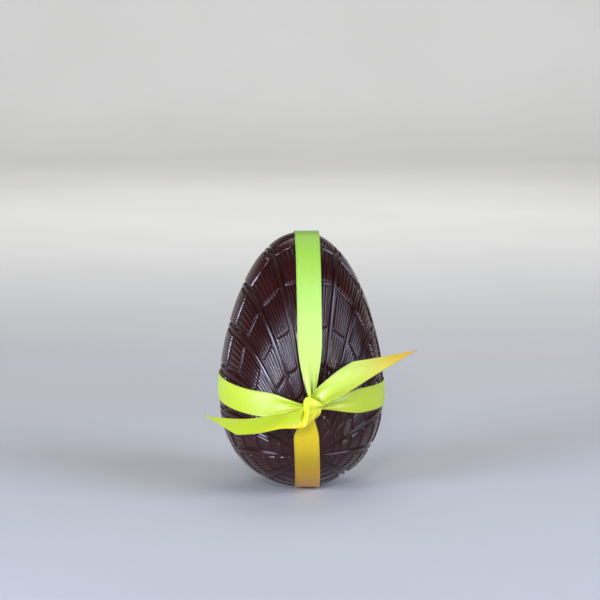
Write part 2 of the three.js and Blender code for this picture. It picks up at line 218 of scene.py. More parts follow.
def lerp(a, b, t):
    """a + (b - a) t."""
    return a + (b - a) * t


def unit(vectors):
    """Each vector divided by its length."""
    return vectors / np.maximum(np.linalg.norm(vectors, axis=-1, keepdims=True), 1e-12)


def catmull_rom(points, t):
    """Catmull-Rom curve at places t, where point number i lies at t = i: between p1 and p2 the cubic
    with end slopes (p2 - p0) / 2 and (p3 - p1) / 2."""
    points = np.asarray(points, float)
    padded = np.vstack([2 * points[0] - points[1], points, 2 * points[-1] - points[-2]])
    i = np.minimum(t.astype(int), len(points) - 2)
    f = (t - i)[:, None]
    p0, p1, p2, p3 = padded[i], padded[i + 1], padded[i + 2], padded[i + 3]
    return 0.5 * (2 * p1 + (p2 - p0) * f + (2 * p0 - 5 * p1 + 4 * p2 - p3) * f ** 2
                  + (3 * p1 - p0 - 3 * p2 + p3) * f ** 3)


def curve_through(points, shares):
    """The curve through the points at shares of its length: 40 steps from point to point, read off
    at even lengths."""
    fine = catmull_rom(points, np.linspace(0, len(points) - 1, 40 * (len(points) - 1) + 1))
    lengths = np.r_[0, np.cumsum(np.linalg.norm(np.diff(fine, axis=0), axis=1))]
    wanted = np.asarray(shares) * lengths[-1]
    return np.stack([np.interp(wanted, lengths, fine[:, k]) for k in range(3)], -1)


def stations_curve(points, shares):
    """The curve through the points, with the shares spread evenly over the stretches between them,
    so that two edges with the same number of points stay in step."""
    return catmull_rom(points, shares * (len(points) - 1))


def closed_quads(grid):
    """Quads between neighbouring rows of a grid of point numbers whose rows close on themselves."""
    turned = np.roll(grid, -1, 1)
    return np.stack([grid[:-1], grid[1:], turned[1:], turned[:-1]], -1).reshape(-1, 4)


def add_piece(name, vertices, faces, material, node):
    """Makes a mesh object from millimetre points, shades it smooth and ties it to the frame."""
    mesh = bpy.data.meshes.new(name)
    mesh.from_pydata((vertices * MM).tolist(), [], faces)
    mesh.polygons.foreach_set("use_smooth", np.ones(len(mesh.polygons), bool))
    mesh.materials.append(material)
    piece = bpy.data.objects.new(name, mesh)
    bpy.context.scene.collection.objects.link(piece)
    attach(piece, "root")
    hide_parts(node)
    return piece


# ------------------------------------------------------------------ materials

class Nodes:
    """A material's node tree, with a short way to add a node and link its inputs."""

    def __init__(self, name):
        self.material = bpy.data.materials.new(name)
        self.material.use_nodes = True
        self.tree = self.material.node_tree
        self.shader = self.tree.nodes["Principled BSDF"]

    def add(self, kind, inputs=None, **settings):
        node = self.tree.nodes.new(kind)
        for key, value in settings.items():
            setattr(node, key, value)
        for key, value in (inputs or {}).items():
            self.put(node.inputs[key], value)
        return node

    def put(self, socket, value):
        if isinstance(value, bpy.types.NodeSocket):
            self.tree.links.new(value, socket)
        else:
            socket.default_value = value

    def ramp(self, factor, *stops):
        """Colour ramp through (place, colour) stops."""
        node = self.add("ShaderNodeValToRGB", {"Fac": factor})
        elements = node.color_ramp.elements
        while len(elements) < len(stops):
            elements.new(0.5)
        for element, (place, colour) in zip(elements, stops):
            element.position = place
            element.color = (*colour, 1)
        return node.outputs["Color"]

    def blend(self, factor, first, second):
        """Colour between the first and the second by a factor from 0 to 1."""
        node = self.add("ShaderNodeMix", {"Factor": factor}, data_type="RGBA")
        colours = [socket for socket in node.inputs if socket.type == "RGBA"]
        self.put(colours[0], first)
        self.put(colours[1], second)
        return [socket for socket in node.outputs if socket.type == "RGBA"][0]

    def span(self, value, from_low, from_high, to_low, to_high):
        """Straight-line change of range, kept between its ends."""
        node = self.add("ShaderNodeMapRange", {"Value": value, "From Min": from_low, "From Max": from_high,
                                               "To Min": to_low, "To Max": to_high})
        return node.outputs["Result"]

    def noise(self, place, scale, detail):
        """Fractal noise at a place. Ramps and spans read it from NOISE_LOW to NOISE_HIGH."""
        node = self.add("ShaderNodeTexNoise", {"Vector": place, "Scale": scale, "Detail": detail})
        return node.outputs["Fac"]

    def calc(self, operation, *values):
        """One arithmetic step on sockets or numbers."""
        return self.add("ShaderNodeMath", dict(enumerate(values)), operation=operation).outputs[0]

    def bump(self, height, strength, distance, normal=None):
        """Normal tilted by a height, on top of the normal that comes before it."""
        inputs = {"Height": height, "Strength": strength, "Distance": distance}
        if normal is not None:
            inputs["Normal"] = normal
        return self.add("ShaderNodeBump", inputs).outputs["Normal"]


NOISE_LOW = 0.3
NOISE_HIGH = 0.7

# The ribbon's lime, and its gold, which is painted warm bounce light and golden shade, at shares of
# COLOUR_HEIGHT, in metres above the floor
COLOUR_HEIGHT = 0.15
# The lime is paler at share 0.52 and turns deeper green towards the top, share 0.8 to 1, which is painted
# shade where the band faces up
LIME_AND_SHADE_STOPS = (
    (0.3, (0.43, 0.53, 0.010)),
    (0.42, (0.45, 0.57, 0.025)),
    (0.52, (0.47, 0.61, 0.11)),
    (0.8, (0.35, 0.58, 0.09)),
    (1.0, (0.24, 0.46, 0.02)),
)
BOUNCE_GOLD_STOPS = (
    (0.0, (0.60, 0.24, 0.001)),
    (0.15, (0.44, 0.29, 0.001)),
    (0.3, (0.70, 0.54, 0.002)),
    (0.4, (0.88, 0.82, 0.02)),
    (0.5, (0.58, 0.42, 0.002)),
    (0.6, (0.58, 0.27, 0.001)),
)


def dark_chocolate():
    """Moulded dark chocolate: brown-black with a faint cloudiness, fine pores and a soft gloss; in the
    grooves duller, and darker and a little redder than on the ridges, which is painted shade."""
    n = Nodes("dark_chocolate")
    place = n.add("ShaderNodeTexCoord").outputs["Object"]
    cloud = n.noise(place, 45.0, 4.0)
    grain = n.noise(place, 1400.0, 3.0)
    hollow = n.add("ShaderNodeAttribute", attribute_name="hollow").outputs["Fac"]
    ridge_colour = n.ramp(cloud, (NOISE_LOW, (0.022, 0.0030, 0.0034)),
                          (NOISE_HIGH, (0.033, 0.0052, 0.0056)))
    # Painted shade: the hollow attribute darkens the colour in the grooves and valleys
    n.put(n.shader.inputs["Base Color"], n.blend(hollow, ridge_colour, (0.014, 0.0022, 0.0018, 1)))
    ridge_roughness = n.span(cloud, NOISE_LOW, NOISE_HIGH, 0.13, 0.18)
    n.put(n.shader.inputs["Roughness"], n.calc("ADD", ridge_roughness, n.span(hollow, 0, 1, 0, 0.06)))
    pores = n.bump(grain, 0.07, 0.0002)
    n.put(n.shader.inputs["Normal"], n.bump(cloud, 0.2, 0.0008, pores))
    n.shader.inputs["IOR"].default_value = 1.5
    n.shader.inputs["Specular IOR Level"].default_value = 0.36
    return n.material


def lime_satin():
    """Satin ribbon: lime, paler at mid height and deeper green towards the top with painted shade, and
    golden where painted warm bounce light and golden shade are laid on the strip; streaked along its
    length by the warp, crossed by fine weft lines, with denser selvedges and a broad soft gloss."""
    n = Nodes("lime_satin")
    place = n.add("ShaderNodeTexCoord")
    uv = place.outputs["UV"]
    height = n.add("ShaderNodeSeparateXYZ", {"Vector": place.outputs["Object"]}).outputs["Z"]
    warp_map = n.add("ShaderNodeMapping", {"Vector": uv, "Scale": (4.2, 0.05, 1)}).outputs["Vector"]
    warp = n.noise(warp_map, 1.0, 3.0)
    weft_map = n.add("ShaderNodeMapping", {"Vector": uv, "Scale": (0.25, 3.2, 1)}).outputs["Vector"]
    weft = n.noise(weft_map, 1.0, 2.0)
    across = n.add("ShaderNodeSeparateXYZ", {"Vector": uv}).outputs["X"]
    from_middle = n.calc("ABSOLUTE", n.calc("SUBTRACT", across, RIBBON_WIDTH / 2))
    selvedge_from = RIBBON_WIDTH / 2 - SELVEDGE_WIDTH
    selvedge = n.span(from_middle, selvedge_from - SELVEDGE_BLEND, selvedge_from, 0, 1)
    share = n.span(height, 0.0, COLOUR_HEIGHT, 0, 1)
    # Painted light: how much gold, standing in for warm bounce light and golden shade, each point gets
    painted_warm_light = n.add("ShaderNodeAttribute", attribute_name="painted_warm_light").outputs["Fac"]
    tint = n.blend(painted_warm_light, n.ramp(share, *LIME_AND_SHADE_STOPS), n.ramp(share, *BOUNCE_GOLD_STOPS))
    thread = n.calc("MULTIPLY", n.span(warp, NOISE_LOW, NOISE_HIGH, 0.93, 1.04),
                    n.span(weft, NOISE_LOW, NOISE_HIGH, 0.96, 1.03))
    shade = n.calc("MULTIPLY", thread, n.span(selvedge, 0, 1, 1, 0.9))
    colour = n.add("ShaderNodeVectorMath", {0: tint, "Scale": shade}, operation="SCALE").outputs["Vector"]
    n.put(n.shader.inputs["Base Color"], colour)
    n.put(n.shader.inputs["Roughness"], n.span(warp, NOISE_LOW, NOISE_HIGH, 0.34, 0.44))
    n.shader.inputs["Specular IOR Level"].default_value = 0.6
    threads = n.bump(warp, 0.2, 0.0002, n.bump(weft, 0.15, 0.0001))
    n.put(n.shader.inputs["Normal"], n.bump(selvedge, 0.5, 0.0001, threads))
    n.shader.inputs["Sheen Weight"].default_value = 0.1
    n.shader.inputs["Sheen Roughness"].default_value = 0.4
    n.shader.inputs["Sheen Tint"].default_value = (0.9, 1.0, 0.6, 1)
    return n.material


CHOCOLATE = dark_chocolate()
SATIN = lime_satin()


# ------------------------------------------------------------------ egg outline

def outline_shape(u):
    """sqrt(1 - u^2) times the cubic that makes the base blunt and the top pointed."""
    return np.sqrt(np.maximum(0, 1 - u * u)) * (1 + u * (EGG_TAPER + u * (EGG_FULLNESS + u * EGG_SHOULDER)))


outline_u = np.cos(np.linspace(0, math.pi, OUTLINE_STEPS + 1))
OUTLINE_SCALE = EGG_WIDTH / 2 / outline_shape(outline_u).max()
outline_radius = OUTLINE_SCALE * outline_shape(outline_u)
outline_height = EGG_HEIGHT / 2 * (1 + outline_u)
outline_length = np.r_[0, np.cumsum(np.hypot(np.diff(outline_radius), np.diff(outline_height)))]
HALF_SEAM = outline_length[-1]
SECTOR_WIDTH = 2 * HALF_SEAM / SECTORS


def half_width(z):
    """Half width of the egg at a height above its uncut base point."""
    return OUTLINE_SCALE * outline_shape(np.clip(2 * z / EGG_HEIGHT - 1, -1, 1))


def outline_at(distance):
    """Radius and height of the outline at a distance along it from the top."""
    radius = np.interp(distance, outline_length, outline_radius)
    height = np.interp(distance, outline_length, outline_height)
    return radius, height


def outline_normal(z):
    """Radial and upward part of the outward normal: with r = k s p(u), s = sqrt(1 - u^2), it is
    (s, k (u p - s^2 p')) made unit, where k is the ratio of the two scales."""
    u = np.clip(2 * z / EGG_HEIGHT - 1, -1, 1)
    s = np.sqrt(1 - u * u)
    p = 1 + u * (EGG_TAPER + u * (EGG_FULLNESS + u * EGG_SHOULDER))
    slope = EGG_TAPER + u * (2 * EGG_FULLNESS + 3 * u * EGG_SHOULDER)
    k = OUTLINE_SCALE * 2 / EGG_HEIGHT
    upward = k * (u * p - s * s * slope)
    length = np.hypot(s, upward)
    return s / length, upward / length


# ------------------------------------------------------------------ embossed relief

CORE = np.array([0, 0, CORE_HEIGHT])
RELIEF_CENTRE = np.array([0, -half_width(CENTRE_HEIGHT), CENTRE_HEIGHT])


def seam_target(spoke, reach):
    """Point of the seam that a spoke aims at: spokes are counted from the top, shifted a little
    towards it, and bowed upwards by reach (1 - reach)^2 close to the relief's centre."""
    half_spokes = SECTORS / 2
    count = np.abs(spoke)
    distance = count * SECTOR_WIDTH - SEAM_SHIFT * np.clip(np.minimum(count, half_spokes - count), 0, 1)
    rise = reach * (1 - reach) ** 2 / BOW_PEAK
    radius, height = outline_at(distance - BEAD_BOW * np.sin(math.pi * distance / HALF_SEAM) * rise)
    return np.stack([np.sign(spoke) * radius, 0 * radius, height], -1)


def smooth_points(spoke, reach):
    """Points of the smooth front half: the chord from the relief's centre to the seam, thrown
    outwards from the core onto the egg by halving the span between inside and outside."""
    ray = lerp(RELIEF_CENTRE, seam_target(spoke, reach), reach[..., None]) - CORE
    inside = np.zeros(spoke.shape)
    outside = inside + FARTHEST_SCALE
    for _ in range(CHORD_HALVINGS):
        scale = (inside + outside) / 2
        point = CORE + ray * scale[..., None]
        z = point[..., 2]
        within = (z > 0) & (z < EGG_HEIGHT) & (np.hypot(point[..., 0], point[..., 1]) < half_width(z))
        inside = np.where(within, scale, inside)
        outside = np.where(within, outside, scale)
    return CORE + ray * inside[..., None]


def reach_at(ring, spoke):
    """ratio^ring, where the ring line sags from bead to bead by 4 f (1 - f), swings by a cosine of
    the spoke, and drops by a square towards the base."""
    between = np.abs(spoke) % 1
    sag = RING_SAG * 4 * between * (1 - between)
    swing = RING_SWING * np.cos(math.pi * spoke / 3)
    drop = RING_DROP * np.clip((np.abs(spoke) - 5) / 3, 0, 1) ** 2
    return RING_RATIO ** (ring + (sag + swing + drop) * smoothstep(ring, 0, 1))


def ring_share(width, ring):
    """A width along a spoke, close to a ring line, as a share of the step from ring to ring."""
    return width / (SPOKE_LENGTH * RING_RATIO ** ring * -math.log(RING_RATIO))


def relief_rows():
    """Rows of one half from the seam inwards: place among the rings, depth, and strength of the
    flutes. A scale's face rises to a lip, which its flutes run over, and a groove parts it from the
    next scale."""
    rows = [(ring_share(away, 0), deep, flute) for away, deep, flute in SEAM_ROWS]
    for ring, shares in enumerate(FACE_ROWS):
        start = ring + ring_share(RING_GROOVE_WIDTH, ring)
        lip = ring + 1 - ring_share(LIP_WIDTH, ring + 1)
        step = SCALE_STEP * (SEAM_STEP_SHARE if ring == 0 else 1)
        for share in shares:
            rows.append((lerp(start, lip, share), step * (1 - share), smoothstep(share, *FLUTE_START)))
        for share, deep in LIP_ROWS:
            rows.append((ring + 1 - ring_share(share * LIP_WIDTH, ring + 1), deep, LIP_FLUTE_SHARE))
        rows.append((ring + 1, SCALE_STEP + RING_GROOVE_DEPTH, 0))
    rings = len(FACE_ROWS)
    rows.append((rings + ring_share(RING_GROOVE_WIDTH, rings), 0.5 * SCALE_STEP, 0))
    rows += [(BOSS_RING + past, deep, 0) for past, deep in BOSS_ROWS]
    return np.array(rows).T


def valley_section(width):
    """Half widths of the bead and of the valley it lies in, and where the valley's wall begins, for
    sectors of the given widths."""
    bead = np.minimum(BEAD_HALF_WIDTH, BEAD_SHARE * width)
    valley = VALLEY_SHARE * bead
    return bead, valley, lerp(bead, valley, FLOOR_SHARE)


def across_depth(distance, width, pillow):
    """Depth across a sector: a bead with a flat crown, 1 - x^8 of its half width, on the flat floor of
    a valley; the valley's steep wall; and beyond it the pillowed face of the scales, (1 - share)^2
    of the pillow deep."""
    strength = np.minimum(1, width / FULL_RELIEF_WIDTH)
    bead, valley, wall = valley_section(width)
    on_bead = VALLEY_DEPTH - BEAD_HEIGHT * (1 - np.clip(distance / bead, 0, 1) ** BEAD_CROWN)
    on_side = lerp(VALLEY_DEPTH, pillow, smoothstep(distance, wall, valley))
    on_face = pillow * (1 - np.clip((distance - valley) / (width / 2 - valley), 0, 1)) ** 2
    depth = np.where(distance <= bead, on_bead, np.where(distance <= valley, on_side, on_face))
    return strength * depth


def chocolate_egg():
    """The whole egg on a grid of rows and columns: smooth points pressed in along the egg's normal
    by the beads and valleys, the scales' slopes, grooves and flutes. Flutes are round ridges with a
    thin groove between them, 1 - |cos| across a scale. The back half is mirrored."""
    ring, depth, flute = relief_rows()
    reach = RING_RATIO ** ring
    width = (SECTOR_WIDTH * reach)[:, None]
    bead, valley, wall = valley_section(width)
    on_bead = [share * bead for share in BEAD_COLUMNS]
    side = np.concatenate(on_bead + [wall, lerp(wall, valley, WALL_COLUMN)], 1)
    face = lerp(valley, width - valley, np.linspace(0, 1, FACE_COLUMNS + 1)[None, :])
    columns = np.concatenate([side, face, width - side[:, :0:-1]], 1)
    per_sector = columns.shape[1]
    rows = len(ring)

    sector = np.repeat(np.arange(SECTORS), per_sector)[None, :]
    column = np.tile(columns, (1, SECTORS))
    spoke = sector - SECTORS / 2 + column / width
    distance = np.minimum(column, width - column)
    on_scale = smoothstep(distance, wall, valley)
    on_scale[0] = 1
    on_face = np.clip((column - valley) / (width - 2 * valley), 0, 1)
    scale_index = np.minimum(ring.astype(int), len(FLUTES) - 1)[:, None]

    random = np.random.default_rng(FLUTE_SEED)
    all_scales = (len(FLUTES), SECTORS)
    strength = random.uniform(*FLUTE_STRENGTH, all_scales)[scale_index, sector]
    phase = random.uniform(-FLUTE_SHIFT, FLUTE_SHIFT, all_scales)[scale_index, sector]
    squeeze = random.uniform(-FLUTE_SQUEEZE, FLUTE_SQUEEZE, all_scales)[scale_index, sector]
    count = np.array(FLUTES)[scale_index]
    warped = on_face + squeeze * on_face * (1 - on_face)
    groove = (1 - np.abs(np.cos(math.pi * (count * warped + phase)))) ** FLUTE_SHARPNESS
    fineness = np.where(count > FINE_FLUTES, FINE_FLUTE_SHARE, 1)
    narrow = np.minimum(1, width / FULL_RELIEF_WIDTH) * fineness
    edge_fade = smoothstep(on_face, 0, FLUTE_EDGE) * (1 - smoothstep(on_face, 1 - FLUTE_EDGE, 1))
    low = lerp(1, LOW_FLUTE_SHARE, smoothstep(np.abs(spoke), LOW_FLUTES_FROM, LOW_FLUTES_TO))
    flutes = FLUTE_DEPTH * strength * narrow * low * flute[:, None] * edge_fade * groove

    spoke_fade = smoothstep(reach, *SPOKE_FADE)[:, None]
    pillow = PILLOW_DEPTH * lerp(SEAM_PILLOW_SHARE, 1, smoothstep(ring, 0, SEAM_PILLOW_RINGS))[:, None]
    low_relief = lerp(1, LOW_RELIEF_SHARE, smoothstep(np.abs(spoke), LOW_FLUTES_FROM, LOW_FLUTES_TO + 1))
    scales = depth[:, None] * on_scale * low_relief
    carved = across_depth(distance, width, pillow) * spoke_fade + scales + flutes
    smooth = smooth_points(spoke, reach_at(ring[:, None], spoke))
    radial, upward = outline_normal(smooth[..., 2])
    radius = np.maximum(np.hypot(smooth[..., 0], smooth[..., 1]), 1e-9)
    normal = np.stack([smooth[..., 0] / radius * radial, smooth[..., 1] / radius * radial, upward], -1)
    front = smooth - carved[..., None] * normal

    size = rows * SECTORS * per_sector
    grid = np.arange(size).reshape(rows, -1)
    around = grid.shape[1]
    quads = closed_quads(grid)
    inmost = grid[-1]
    next_inmost = np.roll(inmost, -1)
    back_of = np.arange(size) + size + 1
    back_of[:around] = np.arange(around)
    centre_fan = np.stack([inmost, np.full(around, size), next_inmost], -1)
    back_fan = np.stack([back_of[next_inmost], np.full(around, 2 * size + 1), back_of[inmost]], -1)

    half = np.vstack([front.reshape(-1, 3), RELIEF_CENTRE])
    points = np.vstack([half, half * (1, -1, 1)])
    # How deep each point is carved, from 0 to 1: the chocolate paints shade by it in the grooves and makes
    # them rougher
    hollow = np.r_[np.clip(carved / HOLLOW_DEPTH, 0, 1).reshape(-1), 0]
    hollow = np.r_[hollow, hollow]
    used = np.ones(len(points), bool)
    used[size + 1:size + 1 + around] = False
    renumber = np.cumsum(used) - 1
    faces = []
    for part in (quads, back_of[quads[:, ::-1]], centre_fan, back_fan):
        faces += renumber[part].tolist()
    points = points[used]
    hollow = hollow[used]

    points[:, 2] = np.maximum(points[:, 2], BASE_FLAT_DEPTH) + EGG_LIFT
    c, s = math.cos(EGG_TURN), math.sin(EGG_TURN)
    points[:, :2] = np.stack([c * points[:, 0] - s * points[:, 1], s * points[:, 0] + c * points[:, 1]], -1)
    egg = add_piece("dark_chocolate_egg", points, faces, CHOCOLATE, "chocolate_egg")
    attribute = egg.data.attributes.new("hollow", "FLOAT", "POINT")
    attribute.data.foreach_set("value", hollow.astype(np.float32))


# ------------------------------------------------------------------ ribbon strips

def ribbon_strip(name, middle, across, painted_warm_light):
    """Closed strip round a middle surface, points (rows, columns, 3): each face lies half a thickness
    off it along its normal, and the thickness grows at the selvedges. across is in millimetres, and
    the last argument, from 0 to 1, is painted light: how much gold, standing in for warm bounce light
    and golden shade, is painted on the cloth at each point. Gives back the piece and the length of
    its middle line."""
    along_step = np.gradient(middle, axis=0)
    across_step = np.gradient(middle, axis=1)
    normal = unit(np.cross(along_step, across_step))
    from_edge = RIBBON_WIDTH / 2 - np.abs(across - RIBBON_WIDTH / 2)
    inside = smoothstep(from_edge, 0.6 * SELVEDGE_WIDTH, SELVEDGE_WIDTH)
    thickness = lerp(SELVEDGE_THICKNESS, RIBBON_THICKNESS, inside)
    half = (thickness / 2)[None, :, None]
    section = np.concatenate([middle + normal * half, (middle - normal * half)[:, ::-1]], 1)
    rows, size = section.shape[:2]
    faces = closed_quads(np.arange(rows * size).reshape(rows, size))
    i = np.arange(size // 2 - 1)
    cap = np.stack([i, i + 1, size - 2 - i, size - 1 - i], -1)
    faces = np.vstack([faces, cap, (cap + (rows - 1) * size)[:, ::-1]])
    piece = add_piece(name, section.reshape(-1, 3), faces.tolist(), SATIN, "satin_ribbon")
    # Painted warm light for each point, kept on the mesh for the satin's gold
    painted_warm = np.clip(np.broadcast_to(painted_warm_light, middle.shape[:2]), 0, 1)
    attribute = piece.data.attributes.new("painted_warm_light", "FLOAT", "POINT")
    attribute.data.foreach_set("value", np.concatenate([painted_warm, painted_warm[:, ::-1]], 1).astype(np.float32).ravel())

    run = np.linalg.norm(np.diff(middle[:, middle.shape[1] // 2], axis=0), axis=1)
    along = np.r_[0, np.cumsum(run)]
    u = np.tile(np.r_[across, across[::-1]], rows)
    v = np.repeat(along, size)
    corner = np.zeros(len(piece.data.loops), int)
    piece.data.loops.foreach_get("vertex_index", corner)
    layer = piece.data.uv_layers.new(name="weave")
    layer.data.foreach_set("uv", np.stack([u[corner], v[corner]], -1).ravel())
    return piece, along[-1]


def ribbon_columns(count):
    """Places across the ribbon in millimetres, with one more close to each edge for the selvedge."""
    between = np.linspace(SELVEDGE_WIDTH, RIBBON_WIDTH - SELVEDGE_WIDTH, count)
    return np.r_[0, EDGE_COLUMN, between, RIBBON_WIDTH - EDGE_COLUMN, RIBBON_WIDTH]


def gather_at(distance, gather):
    """How fully a band is spread at a distance from the knot, 0 to 1 by smoothstep, and its width."""
    length, end_width = gather
    spread = smoothstep(distance, 0, length)
    return spread, lerp(end_width, RIBBON_WIDTH, spread)


def length_down_to(height):
    """Distance along the outline from the top down to a height."""
    return np.interp(-height, -outline_height, outline_length)


def level_middle(azimuth):
    """Height of the middle of the level band: a front height on each side, climbing by smoothstep
    to the height at the back."""
    sides = []
    for front, climb_from, climb_to in (LEVEL_LEFT, LEVEL_RIGHT):
        sides.append(lerp(front, LEVEL_BACK_HEIGHT, smoothstep(np.abs(azimuth), climb_from, climb_to)))
    return np.where(azimuth < 0, *sides)


def upright_band():
    """From the knot down the front, under the base, up the back over the level band and over the top
    back to the knot: the egg's outline carried in one upright plane, flat across. Close to the knot
    its width shrinks and a broad and a narrow ridge rise along it, as the cloth is gathered. Away
    from it the cloth lifts by a shallow |sine|, most at its edges."""
    across_way = np.array([math.cos(UPRIGHT_YAW), math.sin(UPRIGHT_YAW), 0])
    backward = np.array([-math.sin(UPRIGHT_YAW), math.cos(UPRIGHT_YAW), 0])
    loop = 2 * HALF_SEAM
    knot_distance = HALF_SEAM - length_down_to(KNOT[2] - EGG_LIFT)
    knot_offset = float(np.dot(KNOT, across_way))
    run = np.linspace(KNOT_INSET, loop - KNOT_INSET, UPRIGHT_ROWS)
    from_base = run - knot_distance
    below = from_base < 0
    wrapped = np.where(from_base > HALF_SEAM, from_base - loop, from_base)
    side = np.where(wrapped < 0, -1.0, 1.0)
    from_top = HALF_SEAM - np.abs(wrapped)
    radius, height = outline_at(from_top)
    radial, upward = outline_normal(height)
    past_level = np.abs(height + EGG_LIFT - LEVEL_BACK_HEIGHT) - RIBBON_WIDTH / 2
    crossing = np.where(side > 0, 1 - smoothstep(past_level, CROSSING_MARGIN, CROSSING_RAMP), 0)
    lower_spread, lower_width = gather_at(run, LOWER_GATHER)
    upper_share = np.clip((loop - run) / UPPER_GATHER[0], 0, 1)
    upper_spread = np.sin(math.pi / 2 * upper_share)
    full_width = RIBBON_WIDTH - UPPER_NARROWING * bell(loop - run, 0, UPPER_NARROWING_REACH)
    upper_width = lerp(UPPER_GATHER[1], full_width, upper_spread)
    spread = np.where(below, lower_spread, upper_spread)
    width = np.where(below, lower_width, upper_width)
    stand = RIBBON_CLEARANCE + RIBBON_THICKNESS / 2 + KNOT_END_LIFT * (1 - spread) ** 2
    stand = stand + crossing * (RIBBON_THICKNESS + CROSSING_GAP)

    across = ribbon_columns(BAND_COLUMNS)
    t = across / RIBBON_WIDTH * 2 - 1
    lean = np.where(below, height * math.tan(LOWER_LEAN), 0)
    centre = lerp(knot_offset, UPRIGHT_OFFSET - lean, spread)
    above = (run > loop / 2)[:, None]
    gather = (1 - spread)[:, None]
    ridge_at = np.where(above, -0.4 * (1 - gather), 0.1)
    ridge = bell(t[None, :], ridge_at, 0.36) * np.where(above, 2.6, 2.2) * gather ** 1.4
    second = bell(t[None, :], 0.62, 0.2) * 0.8 * gather ** 1.5
    crease = 0.05 * np.sin(0.16 * run)[:, None] * t[None, :] * (1 - gather)
    lift = (stand[:, None] + ridge + second + np.abs(crease)) * np.ones_like(t)[None, :]
    place = across_way * (centre[:, None] + t[None, :] * width[:, None] / 2)[..., None]
    place = place + backward * (side * radius)[:, None, None]
    place = place + backward * ((side * radial)[:, None] * lift)[..., None]
    z = height[:, None] + EGG_LIFT + upward[:, None] * lift
    place[..., 2] += np.maximum(z, SELVEDGE_THICKNESS / 2 + BASE_GAP)
    # Painted warm bounce light: gold on the band from the knot down to the base, fading out just past it
    painted_warm_light = (1 - smoothstep(from_base, *UPRIGHT_BOUNCE_GOLD))[:, None]
    piece, length = ribbon_strip("satin_upright_band", place[:, ::-1], across, painted_warm_light)


def level_band():
    """Once round the widest part of the egg, from the knot's left to its right: at each height the
    egg's own half width and a clearance, climbing at the back, gathered to a narrow end at the knot,
    with its top edge turned over on the left."""
    egg_radius = EGG_WIDTH / 2
    loop = 2 * math.pi * egg_radius
    knot_azimuth = math.asin(KNOT[0] / egg_radius)
    run = np.linspace(KNOT_INSET, loop - KNOT_INSET, LEVEL_ROWS)
    azimuth = knot_azimuth - run / egg_radius
    wrapped = np.where(azimuth < -math.pi, azimuth + 2 * math.pi, azimuth)
    left_spread, left_width = gather_at(run, LEFT_GATHER)
    right_spread, right_width = gather_at(loop - run, RIGHT_GATHER)
    on_left = run < loop / 2
    spread = np.where(on_left, left_spread, right_spread)[:, None]
    width = np.where(on_left, left_width, right_width)[:, None]
    gather = 1 - spread
    across = ribbon_columns(BAND_COLUMNS)
    t = (across / RIBBON_WIDTH * 2 - 1)[None, :]
    fold = np.where(on_left[:, None],
                    2.0 * bell(t, 0.75, 0.22) - 1.2 * bell(t, 0.2, 0.3) + 0.9 * bell(t, -0.5, 0.3),
                    1.8 * bell(t, -0.55, 0.3) + 1.2 * bell(t, 0.4, 0.3))
    z = lerp(KNOT[2], level_middle(wrapped)[:, None], spread) + t * width / 2
    stand = RIBBON_CLEARANCE + RIBBON_THICKNESS / 2 + KNOT_END_LIFT * gather ** 2
    radius = half_width(z - EGG_LIFT) + stand + fold * gather ** 1.3
    x = radius * np.sin(azimuth)[:, None]
    y = -radius * np.cos(azimuth)[:, None]
    # Painted golden shade on the lower half of the band's gathered ends at the knot
    painted_warm_light = 0.8 * gather * smoothstep(-t, 0.2, 0.9)
    piece, length = ribbon_strip("satin_level_band", np.stack([x, y, z], -1), across, painted_warm_light)


def right_tail():
    """Free end to the right: the ruled sheet between its two edges, crowned a little across and
    creased where it leaves the knot, with a slanting cut."""
    upper = [(6.0, -53, 60.0), (6.6, -54.3, 64.3), (9.8, -55, 68.1), (16.4, -55.5, 73.9),
             (22.0, -55, 78.1), (28.5, -54, 82.0)]
    lower = [(10.0, -53, 57.0), (12.3, -54, 57.4), (16.2, -54.7, 59.3), (24.6, -54.7, 63.8),
             (38.6, -53, 72.6), (55.5, -48.3, 82.0), (65.0, -45.0, 87.0)]
    share = np.linspace(0, 1, RIGHT_TAIL_ROWS)
    across = ribbon_columns(BAND_COLUMNS)
    t = (across / RIBBON_WIDTH)[None, :, None]
    top = curve_through(upper, share)[:, None, :]
    bottom = curve_through(lower, share)[:, None, :]
    sheet = lerp(bottom, top, t)
    s = share[:, None]
    tt = t[..., 0]
    sheet[..., 1] -= 1.1 * np.sin(math.pi * tt) * smoothstep(s, 0.02, 0.3)
    sheet[..., 1] += 1.6 * bell(tt, 0.8, 0.16) * (1 - smoothstep(s, 0.05, 0.45))
    sheet[..., 1] -= 0.9 * bell(tt, 0.35, 0.2) * (1 - smoothstep(s, 0.1, 0.5))
    sheet[..., 1] += 0.35 * np.sin(9 * s + 2.5 * tt)
    # Painted warm light: gold growing along the tail towards its far end
    painted_warm_light = smoothstep(sheet[..., 0], *TAIL_BOUNCE_GOLD)
    piece, length = ribbon_strip("satin_right_tail", sheet, across, painted_warm_light)


